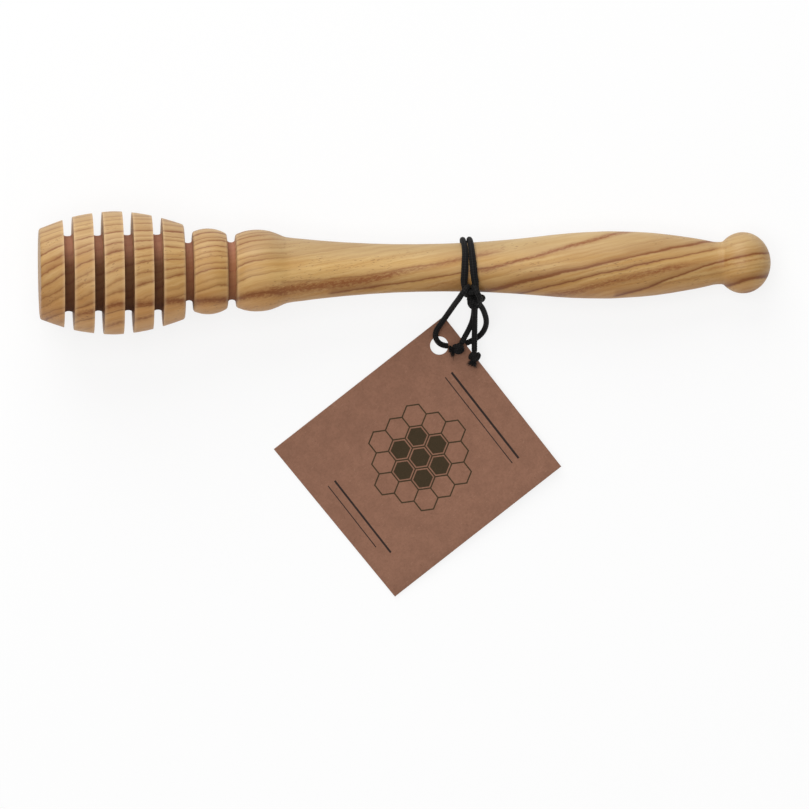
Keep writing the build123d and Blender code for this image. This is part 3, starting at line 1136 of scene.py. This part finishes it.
# %% The print, in millimetres from the hole
cell_reach = 2.75
cell_line = 0.13
fill_gap = 0.4
ink_edge = 0.05
cluster_middle = (-19.0, -17.2)
cells = [
    (column, row, max(abs(column), abs(row), abs(column + row)) < 2)
    for column in range(-2, 3) for row in range(-2, 3) if abs(column + row) < 3
]
# Each rule: its place along the card, half its width, and its two ends across the card.
rules = [
    (-1.6, 0.22, -31.0, -6.5), (-3.4, 0.09, -31.0, -6.5),
    (-37.4, 0.2, -30.0, -9.5), (-39.3, 0.09, -27.0, -9.5),
]


def printed_cells(card, a, b):
    """1 where the honeycomb's ink lies."""
    flat = cell_reach * sqrt(3) / 2
    ink = 0.0
    for column, row, filled in cells:
        from_a = abs(a - (cluster_middle[0] + 2 * flat * (column + row / 2)))
        from_b = abs(b - (cluster_middle[1] + cell_reach * 1.5 * row))
        edge = from_a.at_least(from_a * 0.5 + from_b * (sqrt(3) / 2)) - flat
        ink = card.fall(abs(edge), cell_line, cell_line + ink_edge).at_least(ink)
        if filled:
            ink = card.fall(edge, -fill_gap - ink_edge, -fill_gap).at_least(ink)
    return ink


def printed_rules(card, a, b):
    """1 where the rules' ink lies."""
    ink = 0.0
    for place, half, start, end in rules:
        within = card.step(b, start - ink_edge, start) * card.fall(b, end, end + ink_edge)
        ink = (card.fall(abs(a - place), half, half + ink_edge) * within).at_least(ink)
    return ink


# %% Make the card's finish
pulp_depth = 0.04 * MM


def kraft_card():
    card = Finish("kraft_card", Roughness=0.9, Specular_IOR_Level=0.25)
    a = card.along(length_way, hole_middle)
    b = card.along(side_way, hole_middle)
    up = card.along(card_up, hole_middle)
    wear = card.noise((a * 6.0, b * 6.0, up), 2.0)
    ink_left = card.step(up, 0.1, 0.2) * (0.84 + wear * 0.2)
    pulp = card.noise((a * 0.35, b * 0.35, up), 4.0, 0.6)
    grain = card.noise((a * 2.2, b * 2.2, up), 3.0, 0.7)
    pale = card.noise((a * 1.1, b * 5.0, up + 7.0), 2.0)
    dark = card.noise((a * 5.0, b * 1.3, up + 19.0), 2.0)
    layers = {
        "darker pulp": (card.step(pulp, 0.3, 0.7), srgb(135, 97, 78)),
        "grain": (card.step(grain, 0.35, 0.75) * 0.35, srgb(112, 77, 60)),
        "pale fibres": (card.step(pale, 0.64, 0.76) * 0.4, srgb(168, 130, 108)),
        "dark fibres": (card.step(dark, 0.66, 0.78) * 0.45, srgb(88, 60, 46)),
        "honeycomb": (printed_cells(card, a, b) * ink_left, srgb(50, 42, 24)),
        "rules": (printed_rules(card, a, b) * ink_left, srgb(28, 26, 26)),
    }
    card.feed("Base Color", card.layered(srgb(144, 104, 84), layers))
    card.feed("Normal", card.bump(grain * 0.7 + pale * 0.3, 0.3, pulp_depth))
    print("layers of the card's colour:", ", ".join(layers))
    return card.material


card = card_mesh("card_tag", kraft_card())
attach(card, "tag_body")
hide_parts("tag")

# %% [markdown]
# ## Floor and light
#
# The picture has a white ground. The floor is white where the camera looks straight at it, and keeps
# part of the shadow. Light from above and from every side, a little stronger from the far side,
# keeps the wood's colour as written and, with the painted shade on the groove floors, lets the grooves darken
# towards the near side.

# %% Lay the floor
floor_reach = 3.0
shadow_share = 0.2


def floor_finish():
    floor = Finish("white_floor", Base_Color=(0.9, 0.9, 0.9, 1.0), Roughness=0.9, Specular_IOR_Level=0.1)
    rays = floor.add("ShaderNodeLightPath")
    seen = (rays["Is Camera Ray"] + rays["Is Glossy Ray"] + rays["Is Transmission Ray"]).at_most(1.0)
    glow = floor.add("ShaderNodeEmission", values={"Color": (1, 1, 1, 1), "Strength": 1.0})["Emission"]
    own = Socket(floor, floor.shader.outputs["BSDF"])
    values = {0: seen * (1 - shadow_share), 1: own, 2: glow}
    blend = floor.add("ShaderNodeMixShader", values=values)["Shader"]
    output = floor.tree.nodes["Material Output"]
    floor.join(output.inputs["Surface"], blend)
    return floor.material


corners = [(x * floor_reach, y * floor_reach, 0) for x, y in ((-1, -1), (1, -1), (1, 1), (-1, 1))]
floor = mesh_piece("floor", corners, [(0, 1, 2, 3)], floor_finish())

# %% Light the scene
world_strength = 0.35

# Each lamp: its place and its size in metres, and its power in watts.
lamps = {
    "far_side_light": ((-0.25, 1.0, 0.66), 1.0, 9.5),
    "overhead_light": ((-0.2, 0.0, 1.2), 0.9, 7.5),
}


def soft_light(name, place, size, power):
    """A square lamp that faces the middle of the table."""
    data = bpy.data.lights.new(name, "AREA")
    data.shape = "SQUARE"
    data.size = size
    data.energy = power
    lamp = bpy.data.objects.new(name, data)
    lamp.location = place
    lamp.rotation_euler = (-lamp.location).to_track_quat("-Z", "Y").to_euler()
    bpy.context.scene.collection.objects.link(lamp)


def surroundings(strength):
    """A white world, at full white where the camera sees it."""
    world = bpy.data.worlds.new("surroundings")
    world.use_nodes = True
    bpy.context.scene.world = world
    sky = Graph(world.node_tree)
    seen = sky.add("ShaderNodeLightPath")["Is Camera Ray"]
    values = {"Value": seen, "To Min": strength, "To Max": 1.0}
    level = sky.add("ShaderNodeMapRange", values=values)["Result"]
    background = sky.tree.nodes["Background"]
    sky.join(background.inputs["Color"], (1, 1, 1, 1))
    sky.join(background.inputs["Strength"], level)


surroundings(world_strength)
for name, (place, size, power) in lamps.items():
    soft_light(name, place, size, power)
bpy.context.scene.view_settings.view_transform = "Standard"
print("lamps:", ", ".join(lamps))
